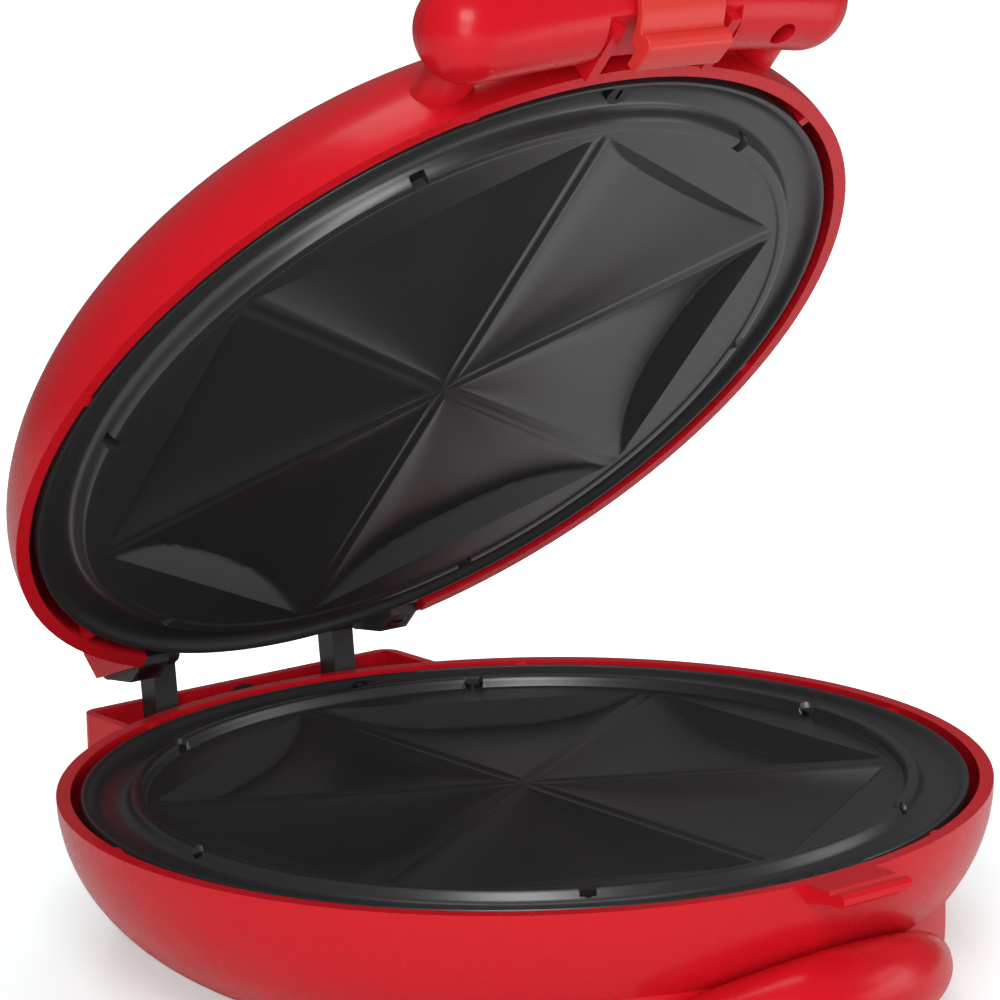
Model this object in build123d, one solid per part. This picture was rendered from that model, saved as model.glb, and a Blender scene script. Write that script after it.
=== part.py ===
from build123d import *
from math import asin, cos, degrees, radians, sin, sqrt, tan
import os

os.makedirs("parts", exist_ok=True)

# A countertop quesadilla maker: a round hinged griddle with a red shell. Millimetres, +Z up.
# The origin is on the worktop under the middle of the round body. The front, with the
# handles, faces -Y and the hinge is at +Y. The lid pieces are drawn with the lid shut and
# then turned about the hinge axis to the resting pose, which is about half open.

# ---- driving sizes -------------------------------------------------------------------

# Round body
body_radius = 117.0          # outside radius of both shells at the rim
rim_height = 46.0            # rim of the base above the worktop
rim_band = 3.5               # flat width of the rim, and so the side wall
shell_wall = 2.6             # wall of the shells at the top and the bottom
rim_gap = 1.5                # between the two rims with the lid shut
bowl_core_radius = 60.0      # where the base bowl's quarter ellipse is centred
bowl_cut = 4.0               # the bowl's ellipse would end this far under the flat sole
dome_height = 55.0           # top of the lid above its own rim
crown_angle = 88.0           # the dome's quarter ellipse ends in a flat from here
sole_height = 4.0            # flat underside of the bowl above the worktop

# Cooking plates
plate_gap = 2.5              # air between a plate's edge and the rim band
plate_edge_drop = 0.5        # plate edge below the rim plane
plate_edge_width = 1.0       # flat outer edge of the plate
gutter_drop = 3.4            # drip gutter below the rim plane
gutter_width = 9.0           # floor of the drip gutter
gutter_slope = 1.8           # horizontal run of the gutter's two sides
lip_width = 2.6              # flat top of the sealing lip
griddle_drop = 2.8           # ridge tops and outer segments below the rim plane
lip_slope = 1.0              # horizontal run of the lip's inner side
plate_thickness = 3.1        # metal under the griddle level
wedge_count = 6              # wedge-shaped pockets in a plate
ridge_width = 4.6            # bars between the pockets
pocket_corner_gap = 1.8      # from a pocket's outer corners to the griddle's edge
pocket_depth = 5.6           # deepest point of a pocket
pocket_wall_run = 8.0        # horizontal run of a pocket's outer wall
pocket_floor_half = 22.0     # half width of the deep end of the floor
edge_slot_length = 28.6      # shallow mark on the front edge of the lower plate
edge_slot_offset = -1.7
edge_slot_depth = 0.6

# What hangs under each plate
post_radius = 1.6            # shanks that tie the reflector to the plate
post_head_radius = 2.3
post_head_height = 1.3
collar_radius = 3.0
nut_height = 2.0
lip_notch = 5.2              # gap in the lip for a post head
heater_radius = 74.0         # middle of the heating ring
heater_tube = 3.25
heater_drop = 15.2           # middle of the ring below the rim plane
heater_gap_angle = 30.0      # opening of the ring between its two ends
heater_gap_middle = 60.0
heater_pin_radius = 2.0
heater_pin_length = 11.0
clamp_length = 17.0
clamp_width = 4.4
clamp_count = 3
reflector_drop = 19.2
reflector_inset = 9.2        # sheet dish inward from the plate's edge
reflector_sheet = 0.8
reflector_rim = 5.2          # height of its turned edge
reflector_port = 13.0        # middle hole, for the thermostat's blades
thermostat_radius = 8.5
thermostat_height = 8.6
thermostat_flange = 32.0
thermostat_flange_sheet = 0.9
blade_width = 6.3
blade_sheet = 0.8
blade_length = 10.0

# Ribs and bosses inside the shells
rib_count = 6
rib_angle = 52.0             # of the base's first rib; the lid's ribs are its mirror image
rib_thickness = 3.0
rib_reach = 9.5              # from the rim band's inner edge toward the middle
boss_radius = 4.5
screw_radius = 1.5
screw_head_radius = 3.2
screw_head_height = 2.0
seat_clearance = 0.2         # around a sunk screw head
plate_screw_inset = 10.5     # plate screw inward from the body radius
upper_plate_screw_angle = -90.0
lower_plate_screw_angle = 76.0
plate_screw_length = 14.0

# Hinge
hinge_setback = 4.8          # hinge axis behind the rim
hinge_rise = 13.2            # hinge axis above the base rim
lid_open_angle = 47.0        # resting pose, from shut
pin_radius = 1.8
pin_clearance = 0.05
eye_radius = 4.5             # round ends of the posts and lugs
post_middle_x = 29.5
post_width = 7.0
lug_middle_x = 41.0
lug_width = 9.0
pin_head_radius = 3.2
pin_head_length = 1.5
post_front = 5.1             # post's foot in front of the hinge axis
post_heel = 1.8              # and behind it
post_foot_height = 6.0
post_screw_setback = 1.2     # in front of the hinge axis
post_screw_bite = 8.0        # thread in the post
lug_foot_rise = 2.5          # underside of a lug above the base rim, lid shut
lug_top_rise = 9.0
lug_front_gap = 3.0          # behind the mouth cut in the lid's rim
lug_bevel = 1.5
lug_heel_setback = 5.8       # in front of the hinge axis
lug_screw_setback = 9.4
lug_screw_length = 14.5
housing_half = 51.5          # half width of the base's hinge housing
housing_reach = 10.0         # behind the rim
housing_depth = 16.0         # below the rim
housing_corner = 5.0
hood_half = 48.5             # half width of the lid's hinge hood
hood_sheet = 2.5
hood_mouth_inset = 13.0      # where the lid's rim is cut away for the hinge
hood_overhang = 3.0          # behind the hinge axis
hood_front_depth = 9.0       # hood's front end inward from the mouth cut
hood_lip_rise = 5.0          # heights above the lid rim, from here to the crest
hood_under_rise = 9.5
hood_back_rise = 17.5
hood_edge_rise = 21.0
hood_crest_rise = 22.5
hood_edge_width = 2.3
hood_crest_setback = 3.8     # crest in front of the hinge axis
hood_slope = 0.39            # roof rises this much per millimetre toward the front
eye_room = 0.8               # between the eyes and the hood
wire_gap_half = 4.0
wire_gap_low = 17.0          # above the lid rim
wire_gap_high = 25.0

# Lid handle and its latch
bar_radius = 12.5
bar_reach = 12.5             # middle of the bar in front of the rim, at x = 0
bar_rise = 11.0              # above the base rim, lid shut
bar_end_x = 49.5             # centres of the round ends
bar_sag = 4.0                # how far the ends bend back
bar_wall = 2.5
bar_flat = 1.2               # flat underside over the catch, above the base rim
bar_flat_half = 20.0
parting_setback = 5.0        # the halves meet on a plane through a line behind the bar's
parting_rise = 12.5
parting_slope = 0.6
dome_clearance = 0.8
stub_radius = 6.2            # round feet that carry the bar off the dome
stub_middle_x = 46.5
stub_rise = 11.5
stub_screw_sink = 1.6        # flat seat of a screw head in the curved wall
fin_thickness = 3.0
fin_middle_x = 17.5
fin_reach = 5.0              # in front of the bar's middle
handle_screw_x = 36.0
handle_screw_sink = 9.0      # its head above the bar's underside
handle_mouth_radius = 3.4
handle_post_radius = 5.2
latch_half = 12.6
latch_clearance = 0.5
latch_side_gap = 0.7         # beside the latch, in its seat
slot_clearance = 0.3
slot_overtravel = 4.0        # degrees
latch_sheet = 2.2
latch_seat_radius = 11.8     # the bar's middle, under the latch
cheek_width = 1.8
cheek_low_angle = 20.0       # cheeks, measured up from the front
cheek_high_angle = 62.0
latch_back_angle = 100.0     # the band starts here, behind the top
latch_front_angle = -40.0    # and runs down to here, where the tab begins
latch_travel = 35.0
latch_pin_radius = 1.5
hook_reach = 8.5             # tip of the hook in front of the rim
hook_top_drop = 3.8
hook_bottom_drop = 6.8
tab_reach = 13.2             # inner face of the hanging tab in front of the rim
tab_roll = 3.4               # radius of the thick roll that the tab ends in
tab_join_angle = 41.0        # where the band runs into the roll

# Catch on the base front
catch_half = 10.6
catch_reach = 12.0           # in front of the rim
catch_lip_height = 3.2
catch_groove_reach = 9.4
catch_groove_width = 2.4
catch_groove_depth = 0.9
catch_root = 4.5

# Base handle, legs and feet
leg_inset = 8.0              # outer faces of the legs inward from the rim
leg_width = 33.5
leg_corner = 14.0
leg_top_drop = 12.0
front_leg_angle = 21.5       # from the front, to each side
rear_leg_angle = 35.5        # from the back, to each side
foot_radius = 7.0
foot_inset = 8.0             # foot centre inward from the leg's outer face
foot_stem_radius = 3.0
foot_stem_height = 4.0
grip_reach = 0.4             # middle line in front of the rim, at x = 0
grip_end_reach = 1.3         # middle line in front of the leg's face, at the ends
grip_end_x = 38.5
grip_middle_radius = 11.6
grip_end_radius = 7.0
grip_middle_drop = 29.0
grip_end_drop = 32.5
grip_clearance = 1.6
grip_screw_length = 16.0

# Bottom cover
sole_border = 4.2            # flat of the sole around the cover
cover_step = 13.0            # ledge that the cover rests on
cover_sheet = 1.5
cover_fit = 0.4
cover_screw_count = 4
cover_boss_height = 7.0
vent_count = 8
vent_circle = 46.0
vent_length = 15.0
vent_width = 2.6

# Electrical pieces
gland_bore = 3.4
gland_body = 4.8
gland_flange = 6.0
gland_drop = 7.0             # middle of the cord's way below the rim
gland_flange_sheet = 3.0
gland_tail = 3.0
block_length = 26.0
block_width = 15.0
block_height = 11.0
block_y = 52.0
wire_radius = 1.3
wire_pair = 2.2              # half spacing of a pair of wires
wire_bend = 3.0
wire_nip = 0.8               # tight bend at a heater pin
wire_drop = 3.0              # first drop past the reflector's edge
wire_slant = 16.0            # run from there toward the middle
wire_rise = 2.0
wire_lead = 8.0              # straight lead into the block
fuse_radius = 2.0
fuse_length = 12.0
fuse_x = 30.0
fuse_y = 18.0
wire_gap_x = -9.0            # where the wires pass the hinge, beside the middle
lens_radius = 3.6
lens_proud = 0.8
lens_depth = 6.0
lens_x = 9.0
lens_y = -62.0
lamp_radius = 2.4
lamp_length = 9.0
lamp_card = (32.0, 14.0, 1.6)

# ---- values that follow from them ----------------------------------------------------

lid_rim = rim_height + rim_gap
bowl_depth = rim_height - sole_height + bowl_cut
inner_radius = body_radius - rim_band
plate_radius = inner_radius - plate_gap
gutter_outer = plate_radius - plate_edge_width
gutter_floor_out = gutter_outer - gutter_slope
gutter_floor_in = gutter_floor_out - gutter_width
lip_outer = gutter_floor_in - gutter_slope / 2
lip_inner = lip_outer - lip_width
griddle_edge = lip_inner - lip_slope
lip_middle = (lip_outer + lip_inner) / 2
plate_under = griddle_drop + plate_thickness
wedge_step = 360 / wedge_count
wedge_half = radians(wedge_step / 2)
pocket_corner = sqrt((griddle_edge - pocket_corner_gap) ** 2 - (ridge_width / 2) ** 2)
pocket_reach = pocket_corner * cos(wedge_half) + ridge_width / 2 * sin(wedge_half)
reflector_radius = plate_radius - reflector_inset
sole_slack = sqrt(1 - (1 - bowl_cut / bowl_depth) ** 2)
sole_edge = bowl_core_radius + (body_radius - bowl_core_radius) * sole_slack
cover_radius = sole_edge - sole_border
cover_step_radius = cover_radius - cover_step
cover_screw_circle = cover_radius - cover_step / 2
leg_radius = body_radius - leg_inset
grip_middle_y = -body_radius - grip_reach
grip_end_y = -sqrt(leg_radius**2 - grip_end_x**2) - grip_end_reach
hinge_y = body_radius + hinge_setback
hinge_z = rim_height + hinge_rise
housing_back = body_radius + housing_reach
hood_mouth_y = body_radius - hood_mouth_inset
hood_back = hinge_y + hood_overhang
hood_crest_y = hinge_y - hood_crest_setback
lug_low = rim_height + lug_foot_rise
lug_screw_y = hinge_y - lug_screw_setback
axis_line = Axis((0, hinge_y, hinge_z), (1, 0, 0))
bar_y = -body_radius - bar_reach
bar_end_y = bar_y + bar_sag
bar_z = rim_height + bar_rise
tab_y = -body_radius - tab_reach
hook_tip_y = -body_radius - hook_reach
catch_front_y = -body_radius - catch_reach
catch_groove_y = -body_radius - catch_groove_reach
latch_inner = latch_seat_radius + latch_clearance
latch_outer = latch_inner + latch_sheet
sole_inner = sole_height + shell_wall + cover_fit


# ---- shared shapes -------------------------------------------------------------------

def spun(*path):
    """Solid of revolution about Z of a closed outline in the (r, z) plane."""
    outline = Curve() + list(path)
    return revolve(make_face(Plane.XZ * outline), Axis.Z)


def side_slab(points, x_from, x_to):
    """Outline in the (y, z) plane, extruded along X from x_from to x_to."""
    face = make_face(Plane.YZ * Polyline(*points, close=True))
    return Pos(x_from, 0, 0) * extrude(face, x_to - x_from, dir=(1, 0, 0))


def rod_x(radius, x_from, x_to, y, z):
    """Round bar along X."""
    length = x_to - x_from
    return Pos((x_from + x_to) / 2, y, z) * (Rot(0, 90, 0) * Cylinder(radius, length))


def rod_z(radius, z_from, z_to, x=0.0, y=0.0):
    """Round bar along Z."""
    return Pos(x, y, (z_from + z_to) / 2) * Cylinder(radius, z_to - z_from)


def block(x_range, y_range, z_range):
    """Box between two limits on each axis."""
    size = [high - low for low, high in (x_range, y_range, z_range)]
    middle = [(high + low) / 2 for low, high in (x_range, y_range, z_range)]
    return Pos(*middle) * Box(*size)


def around(shape, angles):
    """Copies of a shape turned about Z."""
    return [Rot(0, 0, angle) * shape for angle in angles]


def both_sides(shape):
    """The shape and its mirror image across the middle of the object."""
    return [shape, mirror(shape, about=Plane.YZ)]


def group(shapes):
    """Separate solids that share one node."""
    return Part() + list(shapes)


def opened(shape):
    """Turn a lid piece from shut to the resting pose."""
    return shape.rotate(axis_line, -lid_open_angle)


def under_lid(shape):
    """Place a piece drawn below a rim plane at z = 0 above the lid's rim plane."""
    return Pos(0, 0, lid_rim) * mirror(shape, about=Plane.XY)


def wire(points, bend):
    """Insulated wire with round bends along a list of points."""
    route = FilletPolyline(*points, radius=bend)
    start = Plane(origin=route @ 0, z_dir=route % 0)
    return sweep(start * Circle(wire_radius), path=route)


def screw(length, head_radius=screw_head_radius, head_height=screw_head_height):
    """Pan-head screw: head from z = 0 upward, shank below."""
    head = rod_z(head_radius, 0, head_height)
    shank = rod_z(screw_radius, -length, 0)
    recess = Pos(0, 0, head_height) * Box(head_radius, head_radius / 3, head_height)
    return head + shank - recess


def save(name, shape):
    """Write one sub-part to its own file."""
    export_step(shape, "parts/" + name + ".step")


# ---- shells' solids of revolution ----------------------------------------------------

def bowl_solid(edge_radius, depth, floor_z):
    """Base bowl: r = core + (edge - core) * sqrt(1 - (drop / depth)^2), cut flat below."""
    sweep_angle = degrees(asin((rim_height - floor_z) / depth))
    width = edge_radius - bowl_core_radius
    side = EllipticalCenterArc(
        (bowl_core_radius, rim_height), width, depth, start_angle=0, arc_size=-sweep_angle
    )
    foot = side @ 1
    top = Polyline((foot.X, foot.Y), (0, foot.Y), (0, rim_height), (edge_radius, rim_height))
    return spun(side, top)


def dome_solid(edge_radius, height):
    """Lid dome: half an ellipsoid on the lid's rim plane, with a small flat on its crown."""
    side = EllipticalCenterArc(
        (0, lid_rim), edge_radius, height, start_angle=0, arc_size=crown_angle
    )
    crown = side @ 1
    top = Polyline((crown.X, crown.Y), (0, crown.Y), (0, lid_rim), (edge_radius, lid_rim))
    return spun(side, top)


def bowl_outside():
    return bowl_solid(body_radius, bowl_depth, sole_height)


def dome_outside():
    return dome_solid(body_radius, dome_height)


# ---- base shell ----------------------------------------------------------------------

def leg(angle):
    """Leg with a round-cornered bottom whose outer face follows a cylinder."""
    top = rim_height - leg_top_drop
    face = RectangleRounded(leg_width, top - sole_height + leg_corner, leg_corner)
    middle = (sole_height + top + leg_corner) / 2
    slab = extrude(Plane.XZ * (Pos(0, middle) * face), leg_radius)
    slab = Pos(0, -leg_radius / 2, 0) * slab
    slab = slab & rod_z(leg_radius, sole_height, top)
    return Rot(0, 0, angle) * slab


def leg_angles():
    return (front_leg_angle, -front_leg_angle, 180 - rear_leg_angle, 180 + rear_leg_angle)


def catch():
    """Ledge on the front rim, with a groove and a bead that the latch hooks under."""
    top = rim_height
    groove = top - catch_groove_depth
    under = top - catch_lip_height
    points = [
        (-inner_radius, top),
        (catch_groove_y + catch_groove_width, top),
        (catch_groove_y + catch_groove_width * 0.8, groove),
        (catch_groove_y + catch_groove_width * 0.2, groove),
        (catch_groove_y, top),
        (catch_front_y + catch_groove_depth, top),
        (catch_front_y, groove),
        (catch_front_y, under + catch_groove_depth),
        (catch_front_y + catch_groove_depth, under),
        (catch_groove_y + catch_groove_width, under),
        (-body_radius, top - catch_root),
        (-inner_radius, top - catch_root),
    ]
    return side_slab(points, -catch_half, catch_half)


def rib(rim, sign):
    """Radial rib that carries a plate's gutter and centres its edge."""
    far = rim + sign * (rim_height - sole_height) * 0.7
    low, high = sorted((rim + sign * plate_under, far))
    carry = block((inner_radius - rib_reach, body_radius), half(rib_thickness), (low, high))
    low, high = sorted((rim + sign * plate_edge_drop * 2, far))
    centre = block((plate_radius + 0.25, body_radius), half(rib_thickness), (low, high))
    return carry + centre


def half(width):
    return (-width / 2, width / 2)


def rib_angles(sign):
    return [sign * (rib_angle + i * 360 / rib_count) for i in range(rib_count)]


def plate_boss(rim, sign, angle):
    """Boss under a plate's gutter for the screw that holds the plate, with its web."""
    low, high = sorted((rim + sign * plate_under, rim + sign * dome_height))
    reach = body_radius - plate_screw_inset
    web = block((reach, body_radius), half(rib_thickness), (low, high))
    return Rot(0, 0, angle) * (rod_z(boss_radius, low, high, reach) + web)


def plate_screw_hole(rim, sign, angle):
    depth = plate_under + plate_screw_length
    low, high = sorted((rim, rim + sign * depth))
    return Rot(0, 0, angle) * rod_z(screw_radius, low, high, body_radius - plate_screw_inset)


def hinge_housing():
    """Box behind the bowl's rim, open at the top, where the hinge posts stand."""
    bottom = rim_height - housing_depth
    outer = block((-housing_half, housing_half), (0, housing_back), (bottom, rim_height))
    back_edges = outer.edges().filter_by(Axis.X).group_by(Axis.Y)[-1].sort_by(Axis.Z)
    outer = fillet(back_edges[0], housing_corner)
    side_edges = outer.edges().filter_by(Axis.Z).group_by(Axis.Y)[-1]
    outer = fillet(side_edges, housing_corner)
    inner = block(
        (shell_wall - housing_half, housing_half - shell_wall),
        (0, housing_back - shell_wall),
        (bottom + shell_wall, rim_height + 1),
    )
    return (outer - inner) - rod_z(inner_radius + rim_band / 2, 0, rim_height + 1)


def base_shell():
    body = bowl_outside() + [leg(angle) for angle in leg_angles()]
    room = bowl_solid(inner_radius, bowl_depth - shell_wall, sole_inner)
    room = room - [Rot(0, 0, angle) * rib(rim_height, -1) for angle in rib_angles(1)]
    room = room - plate_boss(rim_height, -1, lower_plate_screw_angle)
    body = body - room
    body = body + hinge_housing()
    body = body + (catch() - rod_z(inner_radius + rim_band / 2, 0, rim_height))
    body = body - plate_screw_hole(rim_height, -1, lower_plate_screw_angle)
    body = body - cover_openings()
    body = body + around(cover_boss(), cover_angles())
    body = body - around(cover_screw_hole(), cover_angles())
    body = body - [Pos(*spot) * foot_socket() for spot in foot_spots()]
    body = body - gland_passage() - wire_passage()
    body = body - post_screw_holes()
    return body - [grip_screw_hole(side) for side in (-1, 1)]


# ---- bottom cover, its screws, and the feet ------------------------------------------

def cover_angles():
    return [45 + i * 360 / cover_screw_count for i in range(cover_screw_count)]


def cover_openings():
    """Way through the sole, with the seat of the bottom cover."""
    way = rod_z(cover_step_radius, sole_height - 1, sole_inner + 1)
    seat = rod_z(cover_radius, sole_height - 1, sole_height + cover_sheet)
    return way + seat


def cover_boss():
    return rod_z(
        boss_radius, sole_height + cover_sheet, sole_inner + cover_boss_height,
        cover_screw_circle,
    )


def cover_screw_hole():
    return rod_z(screw_radius, 0, sole_inner + cover_boss_height, cover_screw_circle)


def bottom_cover():
    """Stepped disc with a ring of vents."""
    disc = rod_z(cover_radius - cover_fit, sole_height, sole_height + cover_sheet)
    step = rod_z(cover_step_radius - cover_fit, sole_height, sole_inner)
    vent = SlotOverall(vent_length, vent_width)
    vent = extrude(Pos(vent_circle, 0, 0) * (Rot(0, 0, 90) * vent), rim_height)
    vents = around(vent, [i * 360 / vent_count for i in range(vent_count)])
    return disc + step - vents - around(cover_screw_hole(), cover_angles())


def bottom_cover_screws():
    """Flat-headed screws, with their heads just under the cover."""
    length = cover_sheet + cover_boss_height
    one = screw(length, head_height=screw_head_height / 2)
    one = Pos(cover_screw_circle, 0, sole_height) * (Rot(180, 0, 0) * one)
    return group(around(one, cover_angles()))


def foot_spots():
    """Foot centres, under the middle of each leg."""
    reach = leg_radius - foot_inset
    return [
        (reach * sin(radians(angle)), -reach * cos(radians(angle)), 0)
        for angle in leg_angles()
    ]


def foot_socket():
    return rod_z(foot_stem_radius, 0, sole_height + foot_stem_height)


def foot():
    """Rubber foot with a stem pressed up into the leg."""
    pad = rod_z(foot_radius, 0, sole_height)
    pad = chamfer(pad.edges().group_by(Axis.Z)[0], sole_height / 5)
    return pad + rod_z(foot_stem_radius, 0, sole_height + foot_stem_height)


# ---- base handle ---------------------------------------------------------------------

def grip_point(turn):
    """Middle line of the base handle at a turn from -1 to 1, with its section radius."""
    rise = abs(grip_middle_y - grip_end_y)
    bend = (grip_end_x**2 + rise**2) / (2 * rise)
    angle = asin(grip_end_x / bend) * turn
    weight = turn**2
    x = bend * sin(angle)
    y = grip_middle_y + bend * (1 - cos(angle))
    z = rim_height - grip_middle_drop - (grip_end_drop - grip_middle_drop) * weight
    radius = grip_middle_radius + (grip_end_radius - grip_middle_radius) * weight
    return x, y, z, degrees(angle), radius


def base_handle():
    """Crescent bar in front of the base, tapering to both ends."""
    sections = []
    for turn in (-1, -0.7, -0.35, 0, 0.35, 0.7, 1):
        x, y, z, angle, radius = grip_point(turn)
        plane = Plane(origin=(x, y, z), z_dir=(cos(radians(angle)), sin(radians(angle)), 0))
        sections.append(plane * Circle(radius))
    x, y, z, angle, radius = grip_point(1)
    bar = loft(sections) + both_sides(Pos(x, y, z) * Sphere(radius))
    bar = bar - rod_z(leg_radius, 0, rim_height)
    gap = bowl_solid(body_radius + grip_clearance, bowl_depth, sole_height)
    bar = bar - gap
    return bar - [grip_screw_hole(side) for side in (-1, 1)]


def grip_screw_frame(side):
    """Radial line through a front leg into the end of the base handle."""
    angle = radians(90 - degrees(asin(grip_end_x / leg_radius)))
    inside = bowl_inner_radius(grip_end_drop) + screw_head_height / 2
    direction = (side * cos(angle), -sin(angle), 0)
    start = (inside * direction[0], inside * direction[1], rim_height - grip_end_drop)
    return Plane(origin=start, z_dir=direction)


def bowl_inner_radius(drop):
    depth = bowl_depth - shell_wall
    return bowl_core_radius + (inner_radius - bowl_core_radius) * sqrt(1 - (drop / depth) ** 2)


def grip_screw_hole(side):
    """Screw hole with a flat seat for the head on the curved wall."""
    hole = rod_z(screw_radius, 0, grip_screw_length)
    seat = rod_z(screw_head_radius + seat_clearance, -2 * screw_head_height, 0)
    return grip_screw_frame(side).location * (hole + seat)


def base_handle_screws():
    """Screws from inside the base, through the front legs."""
    one = Rot(180, 0, 0) * screw(grip_screw_length)
    return group([grip_screw_frame(side).location * one for side in (-1, 1)])


# ---- cooking plates ------------------------------------------------------------------

def pocket(level):
    """Wedge: apex near the centre, straight outer side, floor sloping down outward."""
    apex_u = ridge_width / 2 / sin(wedge_half)
    side_v = (pocket_reach - apex_u) * tan(wedge_half)
    deep_u = pocket_reach - pocket_wall_run
    low = level - pocket_depth
    apex = (apex_u, 0, level)
    left = (pocket_reach, side_v, level)
    right = (pocket_reach, -side_v, level)
    deep_left = (deep_u, pocket_floor_half, low)
    deep_right = (deep_u, -pocket_floor_half, low)
    loops = [
        (apex, left, right),
        (apex, deep_left, deep_right),
        (apex, left, deep_left),
        (apex, right, deep_right),
        (left, right, deep_right, deep_left),
    ]
    faces = [Face(Wire.make_polygon(loop, close=True)) for loop in loops]
    return Solid(Shell(faces))


def wedge_angles():
    return [i * wedge_step for i in range(wedge_count)]


def cooking_plate(screw_angle):
    """Griddle drawn face up, with the shell's rim plane at z = 0."""
    outline = Polyline(
        (0, -griddle_drop),
        (griddle_edge, -griddle_drop),
        (lip_inner, 0),
        (lip_outer, 0),
        (gutter_floor_in, -gutter_drop),
        (gutter_floor_out, -gutter_drop),
        (gutter_outer, -plate_edge_drop),
        (plate_radius, -plate_edge_drop),
        (plate_radius, -plate_edge_drop - plate_thickness),
        (gutter_outer, -plate_under),
        (0, -plate_under),
        close=True,
    )
    body = spun(outline)
    body = body + around(pocket(-plate_under), wedge_angles())
    body = body - around(pocket(-griddle_drop), wedge_angles())
    notch = block(
        (griddle_edge, gutter_floor_in), half(lip_notch), (-griddle_drop, plate_thickness)
    )
    hole = rod_z(post_radius, -2 * plate_under, 0, lip_middle)
    body = body - around(notch, wedge_angles()) - around(hole, wedge_angles())
    reach = body_radius - plate_screw_inset
    screw_hole = rod_z(screw_radius, -2 * plate_under, 0, reach)
    screw_seat = rod_z(screw_head_radius + seat_clearance, -gutter_drop, 0, reach)
    return body - Rot(0, 0, screw_angle) * (screw_hole + screw_seat)


def lower_plate():
    plate = Pos(0, 0, rim_height) * cooking_plate(lower_plate_screw_angle)
    top = rim_height - plate_edge_drop
    slot = block(half(edge_slot_length), (-plate_radius, -gutter_outer), (top - edge_slot_depth, top))
    return plate - Pos(edge_slot_offset, 0, 0) * slot


def upper_plate():
    return under_lid(cooking_plate(upper_plate_screw_angle))


def plate_screw(screw_angle):
    """Screw in the gutter, drawn for a rim plane at z = 0."""
    one = Pos(body_radius - plate_screw_inset, 0, -gutter_drop) * screw(plate_screw_length)
    return Rot(0, 0, screw_angle) * one


# ---- pieces under a plate, drawn for a rim plane at z = 0 ----------------------------

def reflector_posts():
    """Studs from the notches in the lip to the reflector."""
    low = -reflector_drop - reflector_sheet - nut_height
    head = rod_z(post_head_radius, -griddle_drop, post_head_height - griddle_drop)
    shank = rod_z(post_radius, low, -griddle_drop)
    collar = rod_z(collar_radius, -reflector_drop, -plate_under)
    nut = rod_z(collar_radius, low, low + nut_height)
    one = Pos(lip_middle, 0, 0) * (head + shank + collar + nut)
    return group(around(one, wedge_angles()))


def heater_ends():
    middle = heater_gap_middle
    return (middle + heater_gap_angle / 2, middle - heater_gap_angle / 2)


def heater():
    """Tubular heating ring with a gap, and a cold pin down from each end."""
    ring = Torus(
        heater_radius, heater_tube, major_angle=360 - heater_gap_angle, align=None
    )
    ring = Rot(0, 0, heater_ends()[0]) * ring
    pin = Pos(heater_radius, 0, 0) * (
        Sphere(heater_tube) + rod_z(heater_pin_radius, -heater_pin_length, 0)
    )
    return Pos(0, 0, -heater_drop) * (ring + around(pin, heater_ends()))


def heater_clamps():
    """Blocks under the ridges that hold the ring up to the plate."""
    bar = block(
        (heater_radius - clamp_length / 2, heater_radius + clamp_length / 2),
        half(clamp_width),
        (-reflector_drop, -plate_under),
    )
    tunnel = Pos(0, 0, -heater_drop) * Torus(heater_radius, heater_tube + pin_clearance)
    one = bar - tunnel
    turns = [wedge_step * (1.5 + i * wedge_count / clamp_count) for i in range(clamp_count)]
    return group(around(one, turns))


def reflector():
    """Shallow sheet dish behind the heating ring."""
    top = -reflector_drop
    dish = rod_z(reflector_radius, top - reflector_sheet, top + reflector_rim)
    dish = dish - rod_z(reflector_radius - reflector_sheet, top, top + 2 * reflector_rim)
    dish = dish - rod_z(reflector_port, -rim_height, 0)
    post_hole = rod_z(post_radius, -rim_height, 0, lip_middle)
    pin_hole = rod_z(2 * heater_pin_radius, -rim_height, 0, heater_radius)
    return dish - around(post_hole, wedge_angles()) - around(pin_hole, heater_ends())


def thermostat():
    """Snap-disc thermostat on a flange along a ridge, with two blades below."""
    top = -plate_under - 0.4
    can = rod_z(thermostat_radius, top - thermostat_height, top)
    sheet = (top - thermostat_flange_sheet, -plate_under)
    flange = block(half(thermostat_flange), half(clamp_width), sheet)
    low = top - thermostat_height
    blade = block(half(blade_width), half(blade_sheet), (low - blade_length, low))
    spread = thermostat_radius / 2
    return Rot(0, 0, wedge_step / 2) * (
        can + flange + Pos(0, spread, 0) * blade + Pos(0, -spread, 0) * blade
    )


def in_base(shape):
    return Pos(0, 0, rim_height) * shape


# ---- electrical pieces in the base ---------------------------------------------------

def gland_height():
    return rim_height - gland_drop


def gland_passage():
    hole = rod_z(gland_body, housing_back - 2 * shell_wall, housing_back + shell_wall)
    return Pos(0, 0, gland_height()) * (Rot(-90, 0, 0) * hole)


def wire_passage():
    """Hole through the rim wall between the hinge housing and the bowl."""
    hole = rod_z(gland_bore + wire_radius, inner_radius - rib_reach, body_radius + shell_wall)
    return Pos(0, 0, gland_height()) * (Rot(-90, 0, 0) * hole)


def cord_gland():
    """Rubber bush in the back wall, flanged on both faces, that the mains cord leaves by."""
    wall_in = housing_back - shell_wall
    body = rod_z(gland_body, wall_in - gland_tail, housing_back + gland_flange_sheet)
    flange = rod_z(gland_flange, housing_back, housing_back + gland_flange_sheet)
    flange = fillet(flange.edges().group_by(Axis.Z)[-1], gland_flange_sheet / 3)
    lock = rod_z(gland_flange, wall_in - gland_tail, wall_in)
    bore = rod_z(gland_bore, 0, 2 * housing_back)
    return Pos(0, 0, gland_height()) * (Rot(-90, 0, 0) * (body + flange + lock - bore))


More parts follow.
